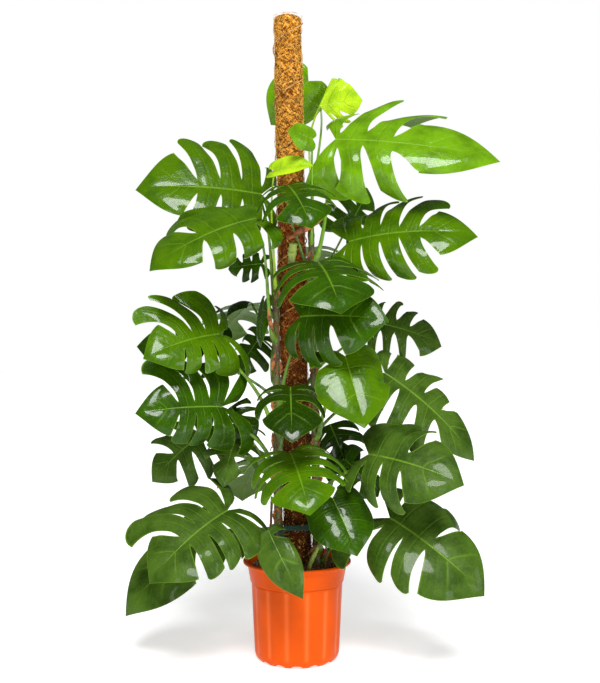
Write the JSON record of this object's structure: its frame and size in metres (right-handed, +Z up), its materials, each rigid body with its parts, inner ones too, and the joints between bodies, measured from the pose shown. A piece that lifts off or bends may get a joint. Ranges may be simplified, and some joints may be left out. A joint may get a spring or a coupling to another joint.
{
  "type": "potted monstera plant",
  "caption": "Tall Swiss cheese plant with split leaves, climbing a coir pole in a round ribbed plastic nursery pot filled with soil.",
  "frame": {"origin": "middle of the pot's flat underside, on the surface that the plant stands on", "axes": "+Z up along the pot's axis, the plant's front faces -Y, +X to the right seen from the front"},
  "size_m": [0.9118, 0.6587, 1.6026],
  "materials": {
    "pot": "gloss",
    "soil": "matte",
    "pole_core": "matte",
    "coir": "matte",
    "twine": "matte",
    "stem": "satin",
    "tie": "matte",
    "root": "matte",
    "stub": "satin",
    "sheath": "matte",
    "leaf": "gloss"
  },
  "bodies": {
    "root": {"pot": "pot", "soil": "soil", "pole_core": "pole_core", "coir_sleeve": "coir", "pole_twine": "twine", "stem_left": "stem", "stem_right": "stem", "stem_back": "stem", "stem_tie": "tie", "air_root_1": "root", "air_root_2": "root", "stalk_stub_1": "stub", "stalk_stub_2": "stub", "sheath_1": "sheath", "sheath_2": "sheath", "sheath_3": "sheath", "sheath_4": "sheath", "leaf_01": "leaf", "leaf_02": "leaf", "leaf_03": "leaf", "leaf_04": "leaf", "leaf_05": "leaf", "leaf_06": "leaf", "leaf_07": "leaf", "leaf_08": "leaf", "leaf_09": "leaf", "leaf_10": "leaf", "leaf_11": "leaf", "leaf_12": "leaf", "leaf_13": "leaf", "leaf_14": "leaf", "leaf_15": "leaf", "leaf_16": "leaf", "leaf_17": "leaf", "leaf_18": "leaf", "leaf_19": "leaf", "leaf_20": "leaf", "leaf_21": "leaf", "leaf_22": "leaf", "leaf_23": "leaf", "leaf_24": "leaf", "leaf_25": "leaf", "leaf_26": "leaf", "leaf_27": "leaf", "leaf_28": "leaf", "leaf_29": "leaf", "leaf_30": "leaf", "leaf_31": "leaf", "leaf_32": "leaf", "leaf_33": "leaf", "leaf_34": "leaf", "leaf_35": "leaf", "leaf_36": "leaf", "leaf_37": "leaf", "leaf_38": "leaf"}
  },
  "joints": []
}
